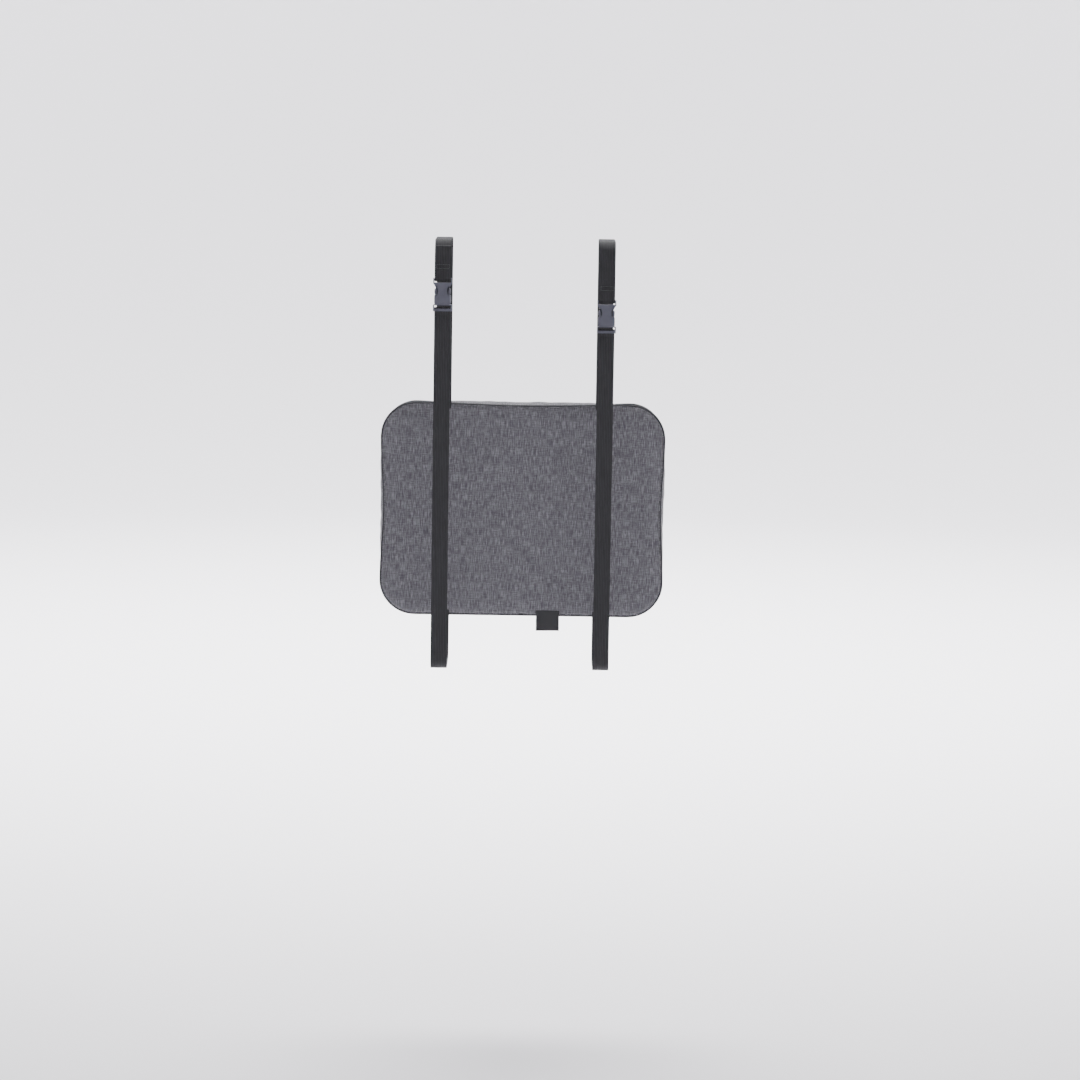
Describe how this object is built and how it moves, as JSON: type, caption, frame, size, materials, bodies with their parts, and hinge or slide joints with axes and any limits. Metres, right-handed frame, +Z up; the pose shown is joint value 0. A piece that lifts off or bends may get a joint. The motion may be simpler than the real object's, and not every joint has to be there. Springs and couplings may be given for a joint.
{
  "type": "lumbar support cushion",
  "caption": "Removable lumbar cushion with a piped, zipped fabric cover over foam, held round a chair's backrest by elastic straps with side-release buckles.",
  "frame": {"origin": "centre of the cushion's flat back face, which rests on the backrest", "axes": "+X across the cushion to the right as seen from behind the chair, +Y towards the sitter, +Z up along the backrest"},
  "size_m": [0.3694, 0.1933, 0.5458],
  "materials": {
    "cover_fabric": "matte",
    "piping_fabric": "matte",
    "zip_nylon": "matte",
    "zip_metal": "satin",
    "inner_bag_cloth": "matte",
    "foam": "matte",
    "label_tape": "satin",
    "elastic_webbing": "matte",
    "thread": "matte",
    "acetal": "satin"
  },
  "bodies": {
    "root": {"cover_back_panel": "cover_fabric", "cover_boxing_band": "cover_fabric", "cover_front_panel": "cover_fabric", "piping_back": "piping_fabric", "piping_front": "piping_fabric", "zip_panel_back": "cover_fabric", "zip_panel_front": "cover_fabric", "zip_tape_back": "zip_nylon", "zip_tape_front": "zip_nylon", "zip_coil_back": "zip_nylon", "zip_coil_front": "zip_nylon", "zip_end_stops": "zip_metal", "inner_bag_back": "inner_bag_cloth", "inner_bag_front": "inner_bag_cloth", "foam_core": "foam", "care_label": "label_tape", "left_upper_strap": "elastic_webbing", "right_upper_strap": "elastic_webbing", "left_lower_strap": "elastic_webbing", "right_lower_strap": "elastic_webbing", "left_loop_stitching": "thread", "right_loop_stitching": "thread", "left_female_buckle": "acetal", "right_female_buckle": "acetal"},
    "zip_slider_body": {"zip_slider": "zip_metal"},
    "zip_pull_body": {"zip_pull": "zip_metal"},
    "left_male": {"left_male_buckle": "acetal"},
    "left_outer_arm": {"left_buckle_outer_arm": "acetal"},
    "left_inner_arm": {"left_buckle_inner_arm": "acetal"},
    "right_male": {"right_male_buckle": "acetal"},
    "right_outer_arm": {"right_buckle_outer_arm": "acetal"},
    "right_inner_arm": {"right_buckle_inner_arm": "acetal"}
  },
  "joints": [
    {"name": "zip_slide", "type": "slide", "parent": "root", "child": "zip_slider_body", "axis": [-1, 0, 0], "range_m": [0, 0.217], "deforming": ["zip_coil_back", "zip_coil_front"]},
    {"name": "zip_pull_swing", "type": "hinge", "parent": "zip_slider_body", "child": "zip_pull_body", "pos_m": [0.1117, 0.025, -0.1374], "axis": [0, 1, 0], "range_deg": [-85, 85]},
    {"name": "left_buckle_unclip", "type": "slide", "parent": "root", "child": "left_male", "axis": [0, 0, -1], "range_m": [0, 0.025], "deforming": ["left_lower_strap", "left_buckle_outer_arm", "left_buckle_inner_arm"]},
    {"name": "left_outer_arm_squeeze", "type": "hinge", "parent": "left_male", "child": "left_outer_arm", "pos_m": [-0.1095, -0.0944, 0.2721], "axis": [0, 1, 0], "range_deg": [0, 8.5], "stiffness_Nm_per_rad": 0.6},
    {"name": "left_inner_arm_squeeze", "type": "hinge", "parent": "left_male", "child": "left_inner_arm", "pos_m": [-0.0965, -0.0944, 0.2721], "axis": [0, -1, 0], "range_deg": [0, 8.5], "stiffness_Nm_per_rad": 0.6},
    {"name": "right_buckle_unclip", "type": "slide", "parent": "root", "child": "right_male", "axis": [0, 0, -1], "range_m": [0, 0.025], "deforming": ["right_lower_strap", "right_buckle_outer_arm", "right_buckle_inner_arm"]},
    {"name": "right_outer_arm_squeeze", "type": "hinge", "parent": "right_male", "child": "right_outer_arm", "pos_m": [0.1095, -0.0944, 0.2476], "axis": [0, -1, 0], "range_deg": [0, 8.5], "stiffness_Nm_per_rad": 0.6},
    {"name": "right_inner_arm_squeeze", "type": "hinge", "parent": "right_male", "child": "right_inner_arm", "pos_m": [0.0965, -0.0944, 0.2476], "axis": [0, 1, 0], "range_deg": [0, 8.5], "stiffness_Nm_per_rad": 0.6}
  ]
}
